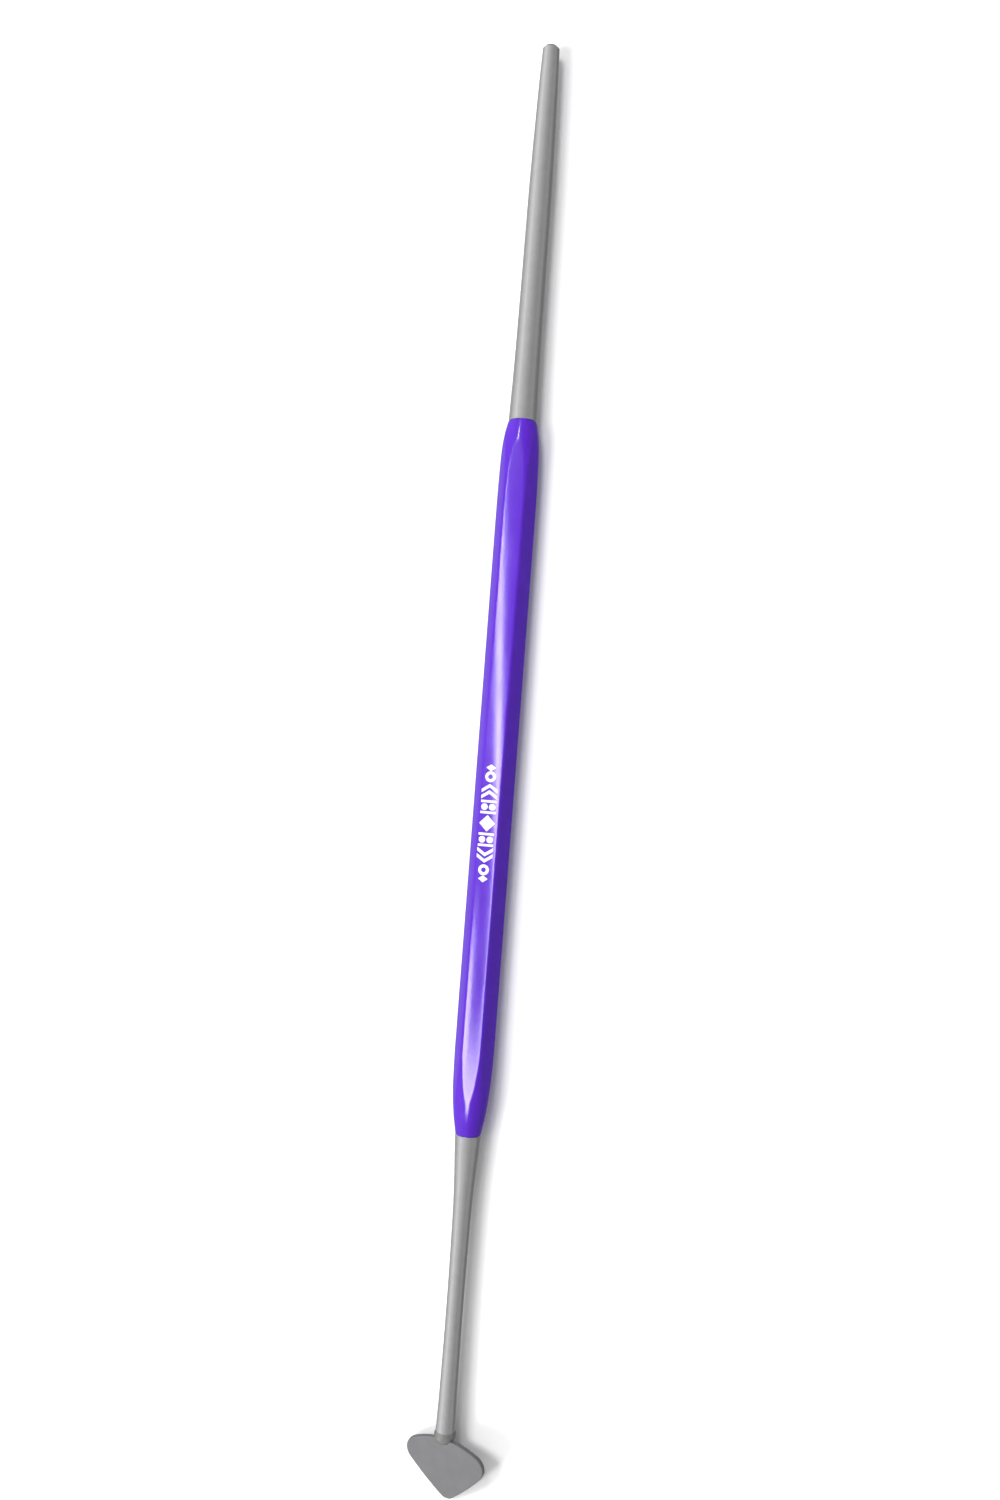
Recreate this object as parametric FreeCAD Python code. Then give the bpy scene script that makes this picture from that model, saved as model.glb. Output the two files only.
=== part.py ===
"""Double-ended cuticle pusher.

A straight hand tool: a lacquered hexagonal grip holds a tapered steel pusher
at one end and a thinner steel shaft with a rounded triangular scraper plate
at the other.  Millimetres, +Z up, +Y towards the pusher's tip.  The tool lies
on the lowest flat of its grip, and the origin is the centre of that flat.
"""
import FreeCAD, Part
import math
import os

V = FreeCAD.Vector

# ---------------------------------------------------------------- grip
GRIP_LEN = 88.4            # whole length of the hexagonal grip
GRIP_AF = 4.50             # across the flats
GRIP_EDGE_R = 0.22         # lacquered long edges, rounded
AXIS_Z = GRIP_AF / 2.0     # height of the tool's axis above the flat it lies on

# turned ends of the grip: (distance from the end face, radius)
HEAD_PROFILE = [(0.0, 1.76), (0.6, 1.90), (1.7, 2.12), (3.2, 2.29),     # at the pusher
                (5.2, 2.39), (8.2, 2.46), (12.0, 2.54), (16.0, 2.64)]
TAIL_PROFILE = [(0.0, 1.60), (0.7, 1.715), (2.2, 1.98), (4.2, 2.21),    # at the scraper
                (6.2, 2.35), (10.2, 2.49), (14.0, 2.575), (17.5, 2.64)]
GRIP_RIM = 0.14            # break on the rim of each end face

BORE_R = 1.20              # blind bores for the two tangs
BORE_DEPTH = 14.0
BORE_CONE = 0.55           # drill point
BORE_LEAD = 0.20           # countersink at the mouth

# ---------------------------------------------------------------- tangs
TANG_R = 1.18              # bonded slip fit in the bore
TANG_LEN = 13.4
TANG_LEAD = 0.35
TANG_GROOVES = 3           # shallow rings that key the bond
GROOVE_W = 0.60
GROOVE_D = 0.14

# ---------------------------------------------------------------- pusher
PUSH_LEN = 46.6            # exposed length, shoulder to tip
# (distance from the shoulder, radius)
PUSH_PROFILE = [(0.0, 1.76), (1.8, 1.715), (3.8, 1.665), (7.0, 1.605),
                (11.0, 1.56), (15.8, 1.525), (20.5, 1.495), (25.5, 1.465),
                (30.3, 1.425), (35.2, 1.34), (40.2, 1.23), (45.0, 1.085),
                (46.25, 1.035)]
PUSH_END_R = 0.70          # flat blunt face, inside the turned break
SHOULDER_BREAK = 0.10

# ---------------------------------------------------------------- scraper
# (distance from the shoulder, radius)
SCR_PROFILE = [(0.0, 1.61), (2.0, 1.52), (4.0, 1.40), (6.0, 1.285),
               (8.4, 1.19), (13.2, 1.11), (18.2, 1.065), (23.2, 1.055),
               (28.2, 1.085), (33.0, 1.13), (35.6, 1.19), (37.2, 1.22),
               (44.0, 1.22)]
PLATE_Y = 37.50            # shoulder to the plate's base edge, on the axis
PLATE_W = 10.8             # widest, across the two base corners
PLATE_H = 7.60             # base corners' tangent line to the tip
PLATE_BOW = 0.90           # how far the base edge bows out past that line
PLATE_T = 0.60
CORNER_R = 1.90
TIP_R = 1.25
SIDE_R = 34.0              # barely crowned working edges
PLATE_EDGE = 0.14          # softened edges of the plate
PLATE_BEND = 14.5          # degrees, plate below the shaft's axis
PLATE_CLOCK = 16.5         # degrees, turned about the axis, +X side up
PLATE_SHIFT = 0.15         # plate brazed on slightly off the shaft's centre, to +X
SEAT_Z = 0.16              # plate's underside above the axis at the base edge
WEDGE_LEN = 3.9            # shaft left under the plate
NOSE_SLOPE = 38.0          # degrees, upper half of the shaft ground down

# ---------------------------------------------------------------- braze
# (distance past the plate's base edge, radius about the shaft's axis)
BEAD_ARC = [(-0.90, 1.12), (-0.05, 1.35), (0.75, 0.72)]


def revolve(points):
    """Solid of revolution about the Y axis from (y, r) points."""
    pts = [V(r, y, 0) for y, r in points]
    wire = Part.makePolygon(pts + [pts[0]])
    return Part.Face(wire).revolve(V(0, 0, 0), V(0, 1, 0), 360.0)


def revolve_edges(edges):
    return Part.Face(Part.Wire(edges)).revolve(V(0, 0, 0), V(0, 1, 0), 360.0)


def seg(a, b):
    return Part.LineSegment(V(a[1], a[0], 0), V(b[1], b[0], 0)).toShape()


def smooth(points):
    """One smooth edge through (y, r) points."""
    c = Part.BSplineCurve()
    c.interpolate([V(r, y, 0) for y, r in points])
    return c.toShape()


def arc3(a, b, c):
    return Part.Arc(V(a[1], a[0], 0), V(b[1], b[0], 0), V(c[1], c[0], 0)).toShape()


def lift(shape):
    """From the axis frame to the tool's own frame."""
    s = shape.copy()
    s.translate(V(0, 0, AXIS_Z))
    return s


def one(shape, name):
    solids = shape.Solids
    if len(solids) != 1:
        print(name, "has", len(solids), "solids", [round(s.Volume, 4) for s in solids])
        solids = [max(solids, key=lambda s: s.Volume)]
    s = solids[0]
    if not s.isValid():
        print(name, "is not valid")
    return s


# ================================================================ grip
def make_grip():
    half = GRIP_LEN / 2.0
    r_corner = GRIP_AF / math.sqrt(3.0)
    pts = [V(r_corner * math.cos(math.radians(60 * k)), -half,
             r_corner * math.sin(math.radians(60 * k))) for k in range(6)]
    prism = Part.Face(Part.makePolygon(pts + [pts[0]])).extrude(V(0, GRIP_LEN, 0))
    long_edges = [e for e in prism.Edges
                  if abs(e.Vertexes[0].Y - e.Vertexes[1].Y) > GRIP_LEN - 0.01]
    prism = prism.makeFillet(GRIP_EDGE_R, long_edges)

    head = [(half - d, r) for d, r in HEAD_PROFILE]
    tail = [(-half + d, r) for d, r in TAIL_PROFILE]
    k = GRIP_RIM
    edges = [
        seg((half, 0), (half, head[0][1] - k)),
        seg((half, head[0][1] - k), (half - k, head[0][1])),
        smooth([(half - k, head[0][1])] + head[1:]),
        seg(head[-1], tail[-1]),
        smooth(tail[:0:-1] + [(-half + k, tail[0][1])]),
        seg((-half + k, tail[0][1]), (-half, tail[0][1] - k)),
        seg((-half, tail[0][1] - k), (-half, 0)),
        seg((-half, 0), (half, 0)),
    ]
    body = prism.common(revolve_edges(edges))

    for sgn in (1, -1):
        bore = revolve([
            (sgn * (half + 1.0), 0), (sgn * (half + 1.0), BORE_R + BORE_LEAD),
            (sgn * half, BORE_R + BORE_LEAD), (sgn * (half - BORE_LEAD), BORE_R),
            (sgn * (half - BORE_DEPTH), BORE_R),
            (sgn * (half - BORE_DEPTH - BORE_CONE), 0)])
        body = body.cut(bore)
    return one(body, "grip")


def tang_outline(y0, sgn):
    """(y, r) points of a tang that enters the grip from the face at y0."""
    out = []
    d = TANG_LEN
    out.append((y0 - sgn * d, 0.0))
    out.append((y0 - sgn * d, TANG_R - TANG_LEAD))
    out.append((y0 - sgn * (d - TANG_LEAD), TANG_R))
    pitch = (TANG_LEN - 2.0) / (TANG_GROOVES + 1)
    for i in range(TANG_GROOVES, 0, -1):
        c = 1.0 + pitch * i
        out.append((y0 - sgn * (c + GROOVE_W / 2), TANG_R))
        out.append((y0 - sgn * (c + GROOVE_W / 2 - GROOVE_D), TANG_R - GROOVE_D))
        out.append((y0 - sgn * (c - GROOVE_W / 2 + GROOVE_D), TANG_R - GROOVE_D))
        out.append((y0 - sgn * (c - GROOVE_W / 2), TANG_R))
    out.append((y0, TANG_R))
    return out


def turned(y0, sgn, profile, end_points):
    """Tang, shoulder at y0, smooth profile outwards, then straight end points."""
    tang = tang_outline(y0, sgn)
    b = SHOULDER_BREAK
    prof = [(y0 + sgn * d, r) for d, r in profile]
    prof[0] = (y0 + sgn * b, prof[0][1])
    edges = [seg(tang[i], tang[i + 1]) for i in range(len(tang) - 1)]
    edges.append(seg(tang[-1], (y0, prof[0][1] - b)))
    edges.append(seg((y0, prof[0][1] - b), prof[0]))
    edges.append(smooth(prof))
    last = prof[-1]
    for p in end_points:
        edges.append(seg(last, p))
        last = p
    edges.append(seg(last, tang[0]))
    return revolve_edges(edges)


# ================================================================ pusher
def make_pusher():
    y0 = GRIP_LEN / 2.0
    tip = y0 + PUSH_LEN
    s = turned(y0, 1, PUSH_PROFILE, [(tip, PUSH_END_R), (tip, 0.0)])
    return one(s, "pusher_shaft")


# ================================================================ plate
def tangent_arc(c1, r1, c2, r2, big_r, outward):
    """Arc of radius big_r that touches both circles from outside them, bowed
    towards outward.  Returns its first, middle and last points."""
    dx, dy = c2[0] - c1[0], c2[1] - c1[1]
    d = math.hypot(dx, dy)
    a = (d * d + (big_r - r1) ** 2 - (big_r - r2) ** 2) / (2 * d)
    h = math.sqrt((big_r - r1) ** 2 - a * a)
    ux, uy = dx / d, dy / d
    for s in (1, -1):
        cx = c1[0] + ux * a - s * uy * h
        cy = c1[1] + uy * a + s * ux * h
        mx, my = (c1[0] + c2[0]) / 2 - cx, (c1[1] + c2[1]) / 2 - cy
        if mx * outward[0] + my * outward[1] > 0:
            break

    def touch(c, r):
        vx, vy = c[0] - cx, c[1] - cy
        n = math.hypot(vx, vy)
        return (cx + vx / n * big_r, cy + vy / n * big_r)
    p1, p2 = touch(c1, r1), touch(c2, r2)
    mx, my = (p1[0] + p2[0]) / 2 - cx, (p1[1] + p2[1]) / 2 - cy
    n = math.hypot(mx, my)
    return p1, (cx + mx / n * big_r, cy + my / n * big_r), p2


def plate_outline():
    """Arcs of the rounded triangle: x across, y from the base line to the tip."""
    a = PLATE_W / 2.0 - CORNER_R
    left, right, tip = (-a, CORNER_R), (a, CORNER_R), (0.0, PLATE_H - TIP_R)
    q = (a * a + PLATE_BOW ** 2) / (2 * PLATE_BOW)
    base = tangent_arc(left, CORNER_R, right, CORNER_R, q + CORNER_R, (0, -1))
    rside = tangent_arc(right, CORNER_R, tip, TIP_R, SIDE_R, (1, 0.8))
    lside = tangent_arc(tip, TIP_R, left, CORNER_R, SIDE_R, (-1, 0.8))

    def corner(c, r, p, q2):
        mx, my = (p[0] + q2[0]) / 2 - c[0], (p[1] + q2[1]) / 2 - c[1]
        n = math.hypot(mx, my)
        return (p, (c[0] + mx / n * r, c[1] + my / n * r), q2)
    return [base, corner(right, CORNER_R, base[2], rside[0]), rside,
            corner(tip, TIP_R, rside[2], lside[0]), lside,
            corner(left, CORNER_R, lside[2], base[0])]


def plate_place(shape):
    """Plate frame (x across, y towards the tip from the base edge, z up out of
    the underside) to the axis frame."""
    s = shape.copy()
    # local +y becomes -Y, local +z stays up: turn about z, then tip down
    s.rotate(V(0, 0, 0), V(0, 0, 1), 180)
    s.translate(V(PLATE_SHIFT, 0, 0))
    s.rotate(V(0, 0, 0), V(1, 0, 0), PLATE_BEND)
    s.translate(V(0, -(GRIP_LEN / 2.0 + PLATE_Y), SEAT_Z))
    s.rotate(V(0, 0, 0), V(0, 1, 0), -PLATE_CLOCK)
    return s


def make_plate():
    edges = [Part.Arc(V(p[0], p[1] + PLATE_BOW, 0), V(m[0], m[1] + PLATE_BOW, 0),
                      V(q[0], q[1] + PLATE_BOW, 0)).toShape()
             for p, m, q in plate_outline()]
    flat = Part.Face(Part.Wire(edges)).extrude(V(0, 0, PLATE_T))
    rims = [e for e in flat.Edges
            if abs(e.BoundBox.ZMax - e.BoundBox.ZMin) < 1e-6]
    flat = flat.makeFillet(PLATE_EDGE, rims)
    return one(plate_place(flat), "scraper_plate")


# ================================================================ scraper shaft
def make_scraper():
    y0 = -GRIP_LEN / 2.0
    last = SCR_PROFILE[-1]
    s = turned(y0, -1, SCR_PROFILE, [(y0 - last[0], 0.0)])
    # everything above the plate's underside, from the base edge outwards
    over = Part.makeBox(20, 20, 10, V(-10, 0, 0))
    s = s.cut(plate_place(over))
    # blunt end of the wedge under the plate
    end = Part.makeBox(20, 20, 20, V(-10, WEDGE_LEN, -10))
    s = s.cut(plate_place(end))
    # ground nose of the upper half, down to the plate's top face
    rise = 6.0 * math.tan(math.radians(NOSE_SLOPE))
    ramp = [V(-10, 0.0, PLATE_T), V(-10, -6.0, PLATE_T + rise),
            V(-10, 2.0, PLATE_T + rise), V(-10, 2.0, PLATE_T)]
    ramp = Part.Face(Part.makePolygon(ramp + [ramp[0]])).extrude(V(20, 0, 0))
    s = s.cut(plate_place(ramp))
    return one(s, "scraper_shaft")


# ================================================================ braze
def make_braze(shaft, plate):
    y = -(GRIP_LEN / 2.0 + PLATE_Y)
    p = [(y - d, r) for d, r in BEAD_ARC]
    bead = revolve_edges([seg((p[0][0], 0), p[0]), arc3(p[0], p[1], p[2]),
                          seg(p[2], (p[2][0], 0)), seg((p[2][0], 0), (p[0][0], 0))])
    return one(bead.cut(shaft).cut(plate), "braze_bead")


def main():
    os.makedirs("parts", exist_ok=True)
    shaft = make_scraper()
    plate = make_plate()
    parts = {
        "grip": make_grip(),
        "pusher_shaft": make_pusher(),
        "scraper_shaft": shaft,
        "scraper_plate": plate,
        "braze_bead": make_braze(shaft, plate),
    }
    for name, shape in parts.items():
        shape = lift(shape)
        shape.exportStep("parts/%s.step" % name)
        b = shape.BoundBox
        print("%-14s vol %9.3f  x %7.3f %7.3f  y %8.3f %8.3f  z %6.3f %6.3f  valid %s"
              % (name, shape.Volume, b.XMin, b.XMax, b.YMin, b.YMax, b.ZMin, b.ZMax,
                 shape.isValid()))


main()
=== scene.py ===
"""Looks of the cuticle pusher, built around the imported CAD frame. Metres, +Z up, +Y towards the pusher's tip."""
import math

import bmesh
import bpy
from mathutils import Matrix, Vector


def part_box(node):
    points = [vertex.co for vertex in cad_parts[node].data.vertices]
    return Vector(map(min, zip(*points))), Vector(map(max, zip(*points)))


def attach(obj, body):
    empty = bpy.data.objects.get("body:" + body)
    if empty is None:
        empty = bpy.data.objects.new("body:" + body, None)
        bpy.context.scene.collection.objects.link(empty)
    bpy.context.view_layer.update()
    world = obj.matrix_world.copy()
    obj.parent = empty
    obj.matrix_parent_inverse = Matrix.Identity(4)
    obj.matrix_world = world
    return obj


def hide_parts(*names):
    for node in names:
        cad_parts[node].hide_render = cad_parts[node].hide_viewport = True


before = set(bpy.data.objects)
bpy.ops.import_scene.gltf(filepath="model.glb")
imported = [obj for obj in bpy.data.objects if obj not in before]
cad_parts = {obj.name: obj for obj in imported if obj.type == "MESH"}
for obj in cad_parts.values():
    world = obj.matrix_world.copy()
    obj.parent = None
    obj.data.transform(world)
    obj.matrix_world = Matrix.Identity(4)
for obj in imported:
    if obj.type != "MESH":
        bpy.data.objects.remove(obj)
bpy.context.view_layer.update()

MM = 0.001

scene = bpy.context.scene
scene.view_settings.view_transform = "Standard"
scene.view_settings.look = "None"
scene.view_settings.exposure = 0.0
scene.view_settings.gamma = 1.0


# ------------------------------------------------------------------ camera
def make_camera():
    tilt, roll = math.radians(10.0), math.radians(4.39)
    r0 = Vector((math.cos(tilt), 0, -math.sin(tilt)))
    u0 = Vector((0, 1, 0))
    n = Vector((math.sin(tilt), 0, math.cos(tilt)))
    r = math.cos(roll) * r0 + math.sin(roll) * u0
    u = -math.sin(roll) * r0 + math.cos(roll) * u0
    c = Vector((0.000313, 0.003497, 0.00225)) + 0.165835 * n
    cam = bpy.data.cameras.new("photo_camera")
    cam.sensor_fit = "AUTO"
    cam.sensor_width = 36.0
    cam.lens = 36.0 * 1340.0 / 1500.0
    cam.clip_start, cam.clip_end = 0.005, 20.0
    cam.dof.use_dof = False
    ob = bpy.data.objects.new("photo_camera", cam)
    scene.collection.objects.link(ob)
    ob.matrix_world = Matrix(((r.x, u.x, n.x, c.x), (r.y, u.y, n.y, c.y),
                              (r.z, u.z, n.z, c.z), (0, 0, 0, 1)))
    scene.camera = ob


make_camera()


# ------------------------------------------------------------------ node helpers
class Nodes:
    def __init__(self, name):
        self.mat = bpy.data.materials.new(name)
        self.mat.use_nodes = True
        self.nt = self.mat.node_tree
        self.nt.nodes.clear()
        self.out = self.nt.nodes.new("ShaderNodeOutputMaterial")
        self.bsdf = self.nt.nodes.new("ShaderNodeBsdfPrincipled")
        self.link(self.bsdf, "BSDF", self.out, "Surface")

    def new(self, kind, **props):
        n = self.nt.nodes.new(kind)
        for k, v in props.items():
            setattr(n, k, v)
        return n

    def link(self, a, ao, b, bi):
        self.nt.links.new(a.outputs[ao], b.inputs[bi])

    def object_coords(self, scale=(1000.0, 1000.0, 1000.0), rot=(0, 0, 0)):
        """Object coordinates in millimetres, stretched by scale."""
        tc = self.new("ShaderNodeTexCoord")
        mp = self.new("ShaderNodeMapping")
        mp.inputs["Scale"].default_value = scale
        mp.inputs["Rotation"].default_value = rot
        self.link(tc, "Object", mp, "Vector")
        return mp

    def noise(self, coords, scale, detail=2.0, rough=0.5):
        n = self.new("ShaderNodeTexNoise")
        n.inputs["Scale"].default_value = scale
        n.inputs["Detail"].default_value = detail
        n.inputs["Roughness"].default_value = rough
        self.link(coords, "Vector", n, "Vector")
        return n

    def ramp(self, src, out, stops):
        r = self.new("ShaderNodeValToRGB")
        cr = r.color_ramp
        while len(cr.elements) > 1:
            cr.elements.remove(cr.elements[-1])
        cr.elements[0].position, cr.elements[0].color = stops[0][0], (*stops[0][1], 1)
        for p, c in stops[1:]:
            e = cr.elements.new(p)
            e.color = (*c, 1)
        self.link(src, out, r, "Fac")
        return r

    def range(self, src, out, a, b, c, d):
        m = self.new("ShaderNodeMapRange")
        m.inputs["From Min"].default_value = a
        m.inputs["From Max"].default_value = b
        m.inputs["To Min"].default_value = c
        m.inputs["To Max"].default_value = d
        self.link(src, out, m, "Value")
        return m

    def math(self, op, a, ao, b=None, bo=None, value=None):
        m = self.new("ShaderNodeMath", operation=op)
        self.link(a, ao, m, 0)
        if b is not None:
            self.link(b, bo, m, 1)
        elif value is not None:
            m.inputs[1].default_value = value
        return m

    def bump(self, height, out, strength, distance, after=None):
        b = self.new("ShaderNodeBump")
        b.inputs["Strength"].default_value = strength
        b.inputs["Distance"].default_value = distance
        self.link(height, out, b, "Height")
        if after is not None:
            self.link(after, "Normal", b, "Normal")
        return b


# ------------------------------------------------------------------ materials
def lacquer():
    """Glossy violet lacquer: deep even colour, slight mottling, soft orange peel, faint handling marks."""
    m = Nodes("violet_lacquer")
    co = m.object_coords()
    big = m.noise(co, 0.35, 3.0, 0.55)
    col = m.ramp(big, "Fac", [(0.30, (0.067, 0.0070, 0.392)), (0.55, (0.073, 0.0080, 0.418)),
                              (0.78, (0.080, 0.0100, 0.445))])
    m.link(col, "Color", m.bsdf, "Base Color")
    m.bsdf.inputs["Metallic"].default_value = 0.0
    m.bsdf.inputs["IOR"].default_value = 1.55
    m.bsdf.inputs["Coat Weight"].default_value = 0.0
    smear = m.noise(m.object_coords((600.0, 160.0, 600.0)), 1.0, 4.0, 0.6)
    rough = m.range(smear, "Fac", 0.35, 0.75, 0.125, 0.175)
    m.link(rough, "Result", m.bsdf, "Roughness")
    peel = m.noise(co, 3.2, 2.0, 0.5)
    b1 = m.bump(peel, "Fac", 0.10, 0.00006)
    m.link(b1, "Normal", m.bsdf, "Normal")
    return m.mat


def steel(name, base, r_lo, r_hi, lines, along=True):
    """Satin ground steel. Fine lines run round the piece where along is False, or lengthwise where it is True."""
    m = Nodes(name)
    co = m.object_coords()
    if along:
        brush = m.noise(m.object_coords((8000.0, 90.0, 8000.0)), 1.0, 2.0, 0.55)
    else:
        brush = m.noise(m.object_coords((350.0, 14000.0, 350.0)), 1.0, 3.0, 0.65)
    cloud = m.noise(co, 0.9, 4.0, 0.6)
    lo = tuple(c * 0.965 for c in base)
    hi = tuple(min(1.0, c * 1.03) for c in base)
    col = m.ramp(cloud, "Fac", [(0.30, lo), (0.52, base), (0.75, hi)])
    m.link(col, "Color", m.bsdf, "Base Color")
    m.bsdf.inputs["Metallic"].default_value = 1.0
    mix = m.math("MULTIPLY", brush, "Fac", value=0.7)
    mix2 = m.math("MULTIPLY", cloud, "Fac", value=0.3)
    both = m.math("ADD", mix, "Value", mix2, "Value")
    rough = m.range(both, "Value", 0.35, 0.65, r_lo, r_hi)
    m.link(rough, "Result", m.bsdf, "Roughness")
    b = m.bump(brush, "Fac", lines, 0.00002)
    m.link(b, "Normal", m.bsdf, "Normal")
    return m.mat


def plate_steel():
    """Satin sheet: even fine-grained surface with a faint cross grain."""
    m = Nodes("plate_steel")
    co = m.object_coords()
    grain = m.noise(co, 14.0, 3.0, 0.7)
    cloud = m.noise(co, 0.55, 3.0, 0.5)
    col = m.ramp(cloud, "Fac", [(0.3, (0.445, 0.445, 0.460)), (0.55, (0.470, 0.470, 0.487)),
                                (0.75, (0.495, 0.495, 0.513))])
    m.link(col, "Color", m.bsdf, "Base Color")
    m.bsdf.inputs["Metallic"].default_value = 1.0
    rough = m.range(grain, "Fac", 0.3, 0.7, 0.42, 0.50)
    m.link(rough, "Result", m.bsdf, "Roughness")
    b = m.bump(grain, "Fac", 0.22, 0.00002)
    m.link(b, "Normal", m.bsdf, "Normal")
    return m.mat


def braze_metal():
    m = Nodes("braze_metal")
    co = m.object_coords()
    cloud = m.noise(co, 2.2, 4.0, 0.6)
    col = m.ramp(cloud, "Fac", [(0.3, (0.46, 0.455, 0.45)), (0.55, (0.54, 0.535, 0.525)), (0.8, (0.60, 0.59, 0.575))])
    m.link(col, "Color", m.bsdf, "Base Color")
    m.bsdf.inputs["Metallic"].default_value = 1.0
    rough = m.range(cloud, "Fac", 0.3, 0.7, 0.32, 0.46)
    m.link(rough, "Result", m.bsdf, "Roughness")
    rip = m.noise(co, 3.5, 2.0, 0.5)
    b = m.bump(rip, "Fac", 0.35, 0.00005)
    m.link(b, "Normal", m.bsdf, "Normal")
    return m.mat


def white_ink():
    m = Nodes("white_ink")
    co = m.object_coords()
    n = m.noise(co, 6.0, 3.0, 0.6)
    col = m.ramp(n, "Fac", [(0.3, (0.83, 0.80, 0.90)), (0.6, (0.90, 0.88, 0.95))])
    m.link(col, "Color", m.bsdf, "Base Color")
    rough = m.range(n, "Fac", 0.3, 0.7, 0.35, 0.5)
    m.link(rough, "Result", m.bsdf, "Roughness")
    return m.mat


def floor_paper():
    m = Nodes("white_surface")
    co = m.object_coords((1.0, 1.0, 1.0))
    n = m.noise(co, 6.0, 3.0, 0.5)
    col = m.ramp(n, "Fac", [(0.3, (0.965, 0.965, 0.978)), (0.7, (0.975, 0.975, 0.985))])
    m.link(col, "Color", m.bsdf, "Base Color")
    m.bsdf.inputs["Roughness"].default_value = 0.7
    m.bsdf.inputs["Specular IOR Level"].default_value = 0.2
    return m.mat


MAT_LACQUER = lacquer()
MAT_STEEL = steel("satin_steel", (0.79, 0.79, 0.80), 0.19, 0.25, 0.07, along=True)
MAT_PLATE = plate_steel()
MAT_BRAZE = braze_metal()
MAT_INK = white_ink()
MAT_FLOOR = floor_paper()


def dress(ob, mat):
    ob.data.materials.clear()
    ob.data.materials.append(mat)


for node, mat in (("pusher_shaft", MAT_STEEL), ("scraper_shaft", MAT_STEEL),
                  ("scraper_plate", MAT_PLATE), ("braze_bead", MAT_BRAZE)):
    dress(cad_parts[node], mat)


# ------------------------------------------------------------------ grip
GRIP_LO, GRIP_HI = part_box("grip")
HALF = GRIP_HI.y / MM
AXIS_Z = (GRIP_LO.z + GRIP_HI.z) / 2 / MM
APOTHEM = AXIS_Z - 0.006
CROWN = 14.0
EDGE_K = 0.17
TURN_K = 0.05
HEAD = [(0.0, 1.76), (0.6, 1.90), (1.7, 2.12), (3.2, 2.29), (5.2, 2.39), (8.2, 2.46), (12.0, 2.54), (16.0, 2.64)]
TAIL = [(0.0, 1.60), (0.7, 1.715), (2.2, 1.98), (4.2, 2.21), (6.2, 2.35), (10.2, 2.49), (14.0, 2.575), (17.5, 2.64)]


def hermite(table):
    """Smooth function through the table's points, straight beyond its last one."""
    n = len(table)
    slopes = []
    for i in range(n):
        a, b = table[max(0, i - 1)], table[min(n - 1, i + 1)]
        slopes.append((b[1] - a[1]) / (b[0] - a[0]))

    def value(d):
        if d >= table[-1][0]:
            return table[-1][1] + (d - table[-1][0]) * slopes[-1]
        d = max(d, 0.0)
        k = max(i for i in range(n - 1) if table[i][0] <= d)
        (x0, y0), (x1, y1) = table[k], table[k + 1]
        h = x1 - x0
        t = (d - x0) / h
        return ((2 * t ** 3 - 3 * t ** 2 + 1) * y0 + (t ** 3 - 2 * t ** 2 + t) * h * slopes[k]
                + (-2 * t ** 3 + 3 * t ** 2) * y1 + (t ** 3 - t ** 2) * h * slopes[k + 1])
    return value


head_radius, tail_radius = hermite(HEAD), hermite(TAIL)


def turned_radius(y):
    """Radius of the turned ends at y, in millimetres."""
    return min(head_radius(HALF - y), tail_radius(y + HALF))


def smin(a, b, k):
    h = max(k - abs(a - b), 0.0) / k
    return min(a, b) - h * h * k * 0.25


def hex_radius(t):
    """Radius of the crowned hexagon at angle t (0 = straight up)."""
    sixth = math.pi / 3
    q = (t + sixth / 2) % sixth - sixth / 2

    def face(p):
        c = CROWN - APOTHEM
        return -c * math.cos(p) + math.sqrt(CROWN ** 2 - (c * math.sin(p)) ** 2)
    near = face(q)
    other = face(abs(q) - sixth)
    return smin(near, other, EDGE_K)


def surface_radius(t, y):
    return smin(hex_radius(t), turned_radius(y), TURN_K)


def mesh_from(name, verts, faces, smooth=True):
    me = bpy.data.meshes.new(name)
    me.from_pydata(verts, [], faces)
    me.validate()
    me.update()
    for p in me.polygons:
        p.use_smooth = smooth
    ob = bpy.data.objects.new(name, me)
    scene.collection.objects.link(ob)
    return ob


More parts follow.
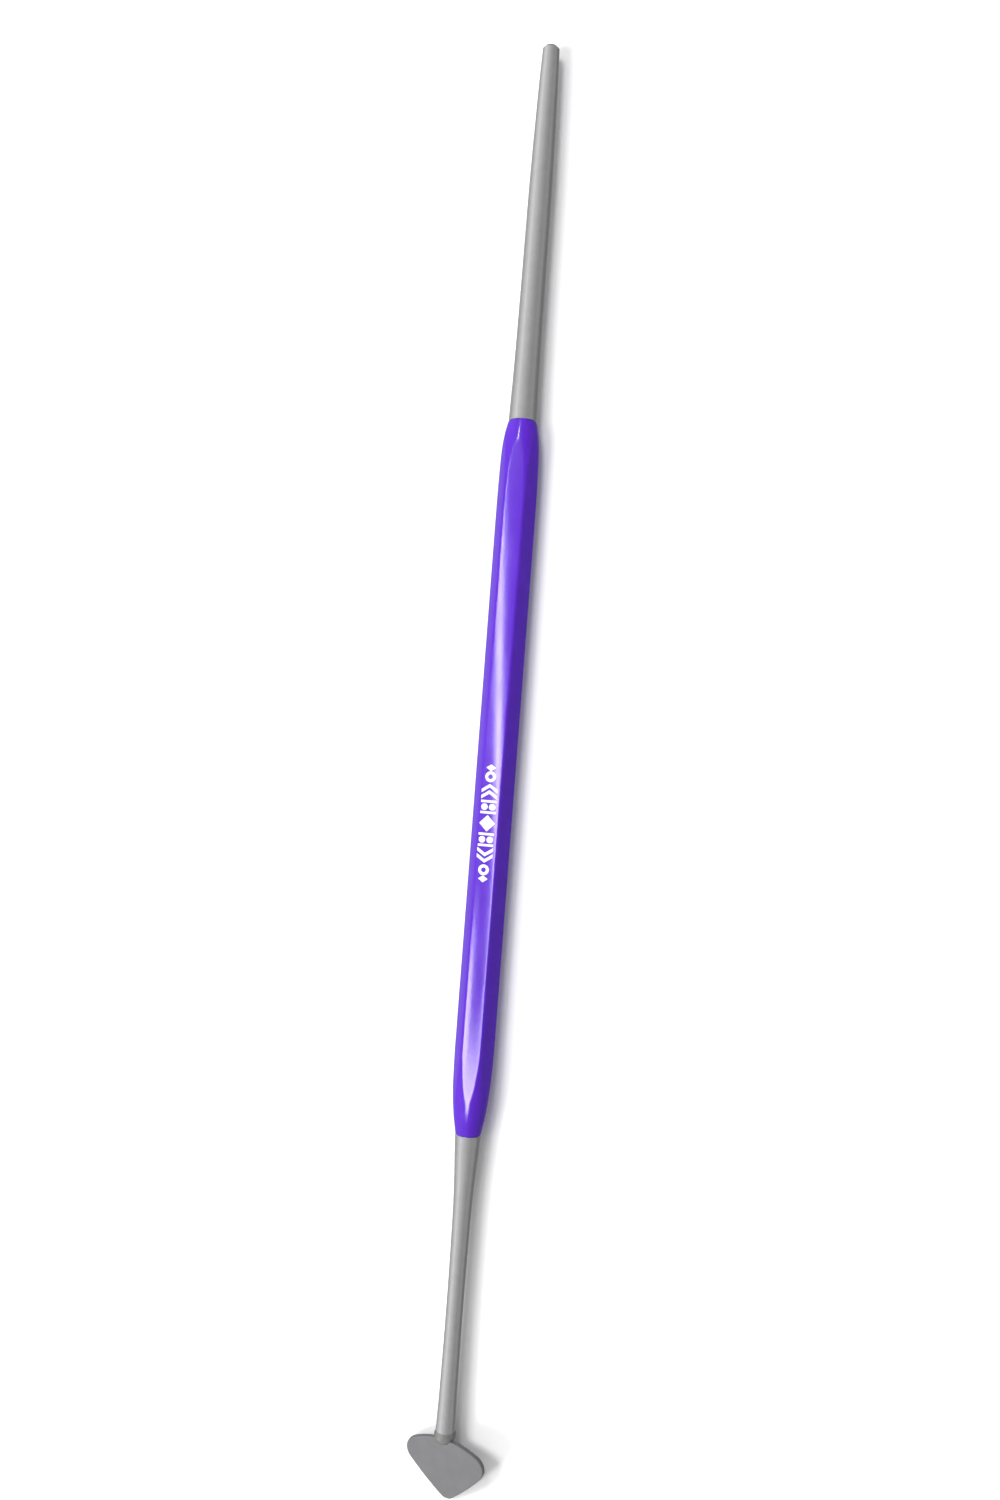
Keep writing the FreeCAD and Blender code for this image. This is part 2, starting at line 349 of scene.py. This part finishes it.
def make_grip():
    n = 288
    rings = []                                # each is (y, radius function or number)
    bore, depth, cone, lead, rim = 1.20, 14.0, 0.55, 0.20, 0.14

    def end(sgn):
        """Rings from the bore's bottom out to the rim, at one end."""
        h = sgn * HALF
        r_end = turned_radius(h)
        out = [(h - sgn * (depth + cone * 0.5), bore * 0.5), (h - sgn * depth, bore)]
        out += [(h - sgn * (depth - 0.05), bore)]
        out += [(h - sgn * (depth * k / 8), bore) for k in range(7, 0, -1)]
        out += [(h - sgn * (lead + 0.04), bore), (h - sgn * lead, bore), (h - sgn * 0.02, bore + lead - 0.02),
                (h, bore + lead + 0.01), (h, (bore + lead + r_end - rim) / 2), (h, r_end - rim - 0.012)]
        for k in range(0, 7):
            a = math.radians(90 * k / 6)
            out.append((h - sgn * rim * (1 - math.cos(a)), r_end - rim + rim * math.sin(a) - (0.0 if k < 6 else 0.0)))
        return out
    tail = end(-1)
    head = end(1)
    ys = []
    y = -HALF + rim
    while y < -HALF + 18.0:
        y += 0.10 if y < -HALF + 5 else 0.20
        ys.append(y)
    y = ys[-1]
    while y < HALF - 17.0:
        y += 1.6
        ys.append(y)
    y = ys[-1]
    while y < HALF - rim - 0.09:
        y = min(y + (0.09 if y > HALF - 5 else 0.20), HALF - rim - 0.02)
        ys.append(y)
        if y >= HALF - rim - 0.03:
            break
    rings = [(a, b) for a, b in tail] + [(a, None) for a in ys] + [(a, b) for a, b in reversed(head)]
    verts, faces = [], []
    k_rim = {(-1): turned_radius(-HALF), 1: turned_radius(HALF)}
    for yy, r in rings:
        for i in range(n):
            t = 2 * math.pi * i / n
            rr = surface_radius(t, yy) if r is None else r
            verts.append((rr * math.sin(t) * MM, yy * MM, (AXIS_Z + rr * math.cos(t)) * MM))
    for j in range(len(rings) - 1):
        for i in range(n):
            a, b = j * n + i, j * n + (i + 1) % n
            faces.append((a, a + n, b + n, b))
    for base, ring, flip in ((rings[0], 0, False), (rings[-1], len(rings) - 1, True)):
        sgn = -1 if ring == 0 else 1
        verts.append((0.0, (sgn * HALF - sgn * (depth + cone)) * MM, AXIS_Z * MM))
        c = len(verts) - 1
        for i in range(n):
            a, b = ring * n + i, ring * n + (i + 1) % n
            faces.append((a, b, c) if not flip else (b, a, c))
    ob = mesh_from("grip_lacquered", verts, faces)
    bm = bmesh.new()
    bm.from_mesh(ob.data)
    bmesh.ops.recalc_face_normals(bm, faces=bm.faces)
    bm.to_mesh(ob.data)
    bm.free()
    dress(ob, MAT_LACQUER)
    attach(ob, "root")
    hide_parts("grip")
    return ob


grip = make_grip()


# ------------------------------------------------------------------ printed ornament
def ornament():
    """Row of plain geometric figures, printed along the grip's upper flat."""
    shapes = []

    def poly(points):
        shapes.append([points])

    def disc(u, r, v=0.0, hole=0.0, n=28):
        ring = [(u + r * math.cos(2 * math.pi * k / n), v + r * math.sin(2 * math.pi * k / n)) for k in range(n)]
        if hole:
            inner = [(u + hole * math.cos(2 * math.pi * k / n), v + hole * math.sin(2 * math.pi * k / n)) for k in range(n)]
            for k in range(n):
                poly([ring[k], ring[(k + 1) % n], inner[(k + 1) % n], inner[k]])
        else:
            poly(ring)

    def diamond(u, a, b):
        poly([(u - a, 0), (u, -b), (u + a, 0), (u, b)])

    def chevron(u, w, b, t, d):
        """Open arrow of height 2b, stroke t, pointing d."""
        poly([(u, 0), (u - d * w, b), (u - d * (w + t), b), (u - d * t, 0)])
        poly([(u, 0), (u - d * t, 0), (u - d * (w + t), -b), (u - d * w, -b)])

    def bar(u, a, b):
        poly([(u - a, -b), (u + a, -b), (u + a, b), (u - a, b)])
    c = -5.55
    diamond(c, 1.00, 0.98)
    for s in (1, -1):
        bar(c + s * 1.32, 0.14, 0.95)
        disc(c + s * 2.00, 0.40, v=0.48)
        disc(c + s * 2.00, 0.40, v=-0.48)
        bar(c + s * 2.68, 0.14, 0.95)
        chevron(c + s * 4.05, 0.66, 0.98, 0.42, s)
        chevron(c + s * 4.82, 0.66, 0.98, 0.42, s)
        disc(c + s * 5.70, 0.66, hole=0.30)
        diamond(c + s * 6.80, 0.42, 0.60)
    verts, faces = [], []
    bm = bmesh.new()
    for loops in shapes:
        vs = [bm.verts.new((v - 0.20, u, 0.0)) for u, v in loops[0]]
        bm.faces.new(vs)
    bmesh.ops.remove_doubles(bm, verts=bm.verts, dist=1e-5)
    for k in range(-13, 12):
        geom = bm.verts[:] + bm.edges[:] + bm.faces[:]
        bmesh.ops.bisect_plane(bm, geom=geom, dist=1e-6, plane_co=(k * 0.1, 0, 0), plane_no=(1, 0, 0))
    bmesh.ops.recalc_face_normals(bm, faces=bm.faces)
    for f in bm.faces:
        if f.normal.z < 0:
            f.normal_flip()
    ret = bmesh.ops.extrude_face_region(bm, geom=bm.faces[:])
    top = {e for e in ret["geom"] if isinstance(e, bmesh.types.BMVert)}
    for v in bm.verts:
        x, y = v.co.x, v.co.y
        t = math.atan2(x, APOTHEM)
        for _ in range(3):
            r = surface_radius(t, y)
            t = math.asin(max(-1.0, min(1.0, x / r)))
        z = AXIS_Z + r * math.cos(t)
        v.co = Vector((x * MM, y * MM, (z + (0.004 if v in top else -0.010)) * MM))
    bmesh.ops.recalc_face_normals(bm, faces=bm.faces)
    me = bpy.data.meshes.new("printed_ornament")
    bm.to_mesh(me)
    bm.free()
    ob = bpy.data.objects.new("printed_ornament", me)
    scene.collection.objects.link(ob)
    dress(ob, MAT_INK)
    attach(ob, "root")
    return ob


ornament()


# ------------------------------------------------------------------ floor, lights
def make_stage():
    me = bpy.data.meshes.new("floor")
    s = 3.0
    me.from_pydata([(-s, -s, 0), (s, -s, 0), (s, s, 0), (-s, s, 0)], [], [(0, 1, 2, 3)])
    me.update()
    ob = bpy.data.objects.new("floor", me)
    scene.collection.objects.link(ob)
    dress(ob, MAT_FLOOR)
    ob.visible_glossy = False


def area(name, loc, target, size, size_y, power, colour=(1, 1, 1), diffuse=True, roll=None):
    li = bpy.data.lights.new(name, "AREA")
    li.shape = "RECTANGLE"
    li.size, li.size_y = size, size_y
    li.energy = power
    li.color = colour
    ob = bpy.data.objects.new(name, li)
    scene.collection.objects.link(ob)
    d = Vector(target) - Vector(loc)
    q = d.to_track_quat("-Z", "Y")
    if roll is not None:
        # turn so that the long side (local Y) lies along the world direction roll
        m = q.to_matrix()
        zl = m.col[2].copy()
        yl = Vector(roll) - Vector(roll).dot(zl) * zl
        yl.normalize()
        xl = yl.cross(zl)
        q = Matrix((xl, yl, zl)).transposed().to_quaternion()
    ob.rotation_mode = "QUATERNION"
    ob.rotation_quaternion = q
    ob.location = loc
    ob.visible_diffuse = diffuse
    return ob


def make_world():
    w = bpy.data.worlds.new("studio")
    scene.world = w
    w.use_nodes = True
    nt = w.node_tree
    nt.nodes.clear()
    out = nt.nodes.new("ShaderNodeOutputWorld")
    bg = nt.nodes.new("ShaderNodeBackground")
    tc = nt.nodes.new("ShaderNodeTexCoord")
    sep = nt.nodes.new("ShaderNodeSeparateXYZ")
    mr = nt.nodes.new("ShaderNodeMapRange")
    mr.inputs["From Min"].default_value = -1.0
    mr.inputs["From Max"].default_value = 1.0
    mr.inputs["To Min"].default_value = 0.0
    mr.inputs["To Max"].default_value = 1.0
    ramp = nt.nodes.new("ShaderNodeValToRGB")
    cr = ramp.color_ramp
    cr.interpolation = "EASE"
    stops = [(0.0, 0.60), (0.13, 0.80), (0.25, 0.63), (0.50, 0.49), (0.66, 0.39), (0.86, 0.31), (1.0, 0.32)]
    cr.elements[0].position, cr.elements[0].color = stops[0][0], (*(stops[0][1],) * 3, 1)
    cr.elements[1].position, cr.elements[1].color = stops[-1][0], (*(stops[-1][1],) * 3, 1)
    for p, v in stops[1:-1]:
        e = cr.elements.new(p)
        e.color = (v, v, v, 1)
    nt.links.new(tc.outputs["Generated"], sep.inputs[0])
    nt.links.new(sep.outputs["X"], mr.inputs["Value"])
    nt.links.new(mr.outputs["Result"], ramp.inputs["Fac"])
    low = nt.nodes.new("ShaderNodeMapRange")
    low.inputs["From Min"].default_value = -0.30
    low.inputs["From Max"].default_value = 0.02
    low.inputs["To Min"].default_value = 0.62
    low.inputs["To Max"].default_value = 1.0
    nt.links.new(sep.outputs["Z"], low.inputs["Value"])
    mul = nt.nodes.new("ShaderNodeVectorMath")
    mul.operation = "MULTIPLY"
    nt.links.new(ramp.outputs["Color"], mul.inputs[0])
    nt.links.new(low.outputs["Result"], mul.inputs[1])
    nt.links.new(mul.outputs["Vector"], bg.inputs["Color"])
    bg.inputs["Strength"].default_value = 1.0
    nt.links.new(bg.outputs[0], out.inputs["Surface"])


GLOSS_ONLY = bpy.data.collections.new("lacquer_receivers")
scene.collection.children.link(GLOSS_ONLY)
GLOSS_ONLY.objects.link(grip)


def strip(name, a, b, width, radiance, colour, height=0.40):
    """Narrow light that only shows as a highlight on the lacquer; ends a and b in metres."""
    cx, cy = (a[0] + b[0]) / 2, (a[1] + b[1]) / 2
    length = math.hypot(b[0] - a[0], b[1] - a[1])
    power = math.pi * width * length * radiance
    ob = area(name, (cx, cy, height), (cx, cy, 0), width, length, power, colour, diffuse=False,
              roll=(b[0] - a[0], b[1] - a[1], 0))
    ob.light_linking.receiver_collection = GLOSS_ONLY
    return ob


make_stage()
make_world()
for name, loc, target, size, size_y, power in (
        ("top", (-0.030, 0.140, 0.220), (0, 0.06, 0), 0.06, 0.10, 0.22),
        ("mid", (-0.098, 0.000, 0.180), (0, 0.00, 0), 0.06, 0.08, 0.29),
        ("low", (-0.150, -0.165, 0.165), (0, -0.06, 0), 0.05, 0.06, 0.30)):
    area(name, loc, target, size, size_y, power).visible_glossy = False
PINK = (1.0, 0.93, 1.0)
strip("strip_grip", (-0.184, 0.126), (0.034, -0.062), 0.026, 23.0, PINK)
strip("strip_tail_left", (-0.141, -0.080), (-0.126, -0.150), 0.056, 15.0, PINK)
strip("strip_tail_right", (0.016, -0.060), (0.000, -0.150), 0.036, 13.0, PINK)
strip("box_tail", (-0.158, -0.192), (0.010, -0.192), 0.130, 15.0, PINK)
strip("strip_head", (-0.090, 0.190), (-0.066, 0.340), 0.030, 28.0, PINK)
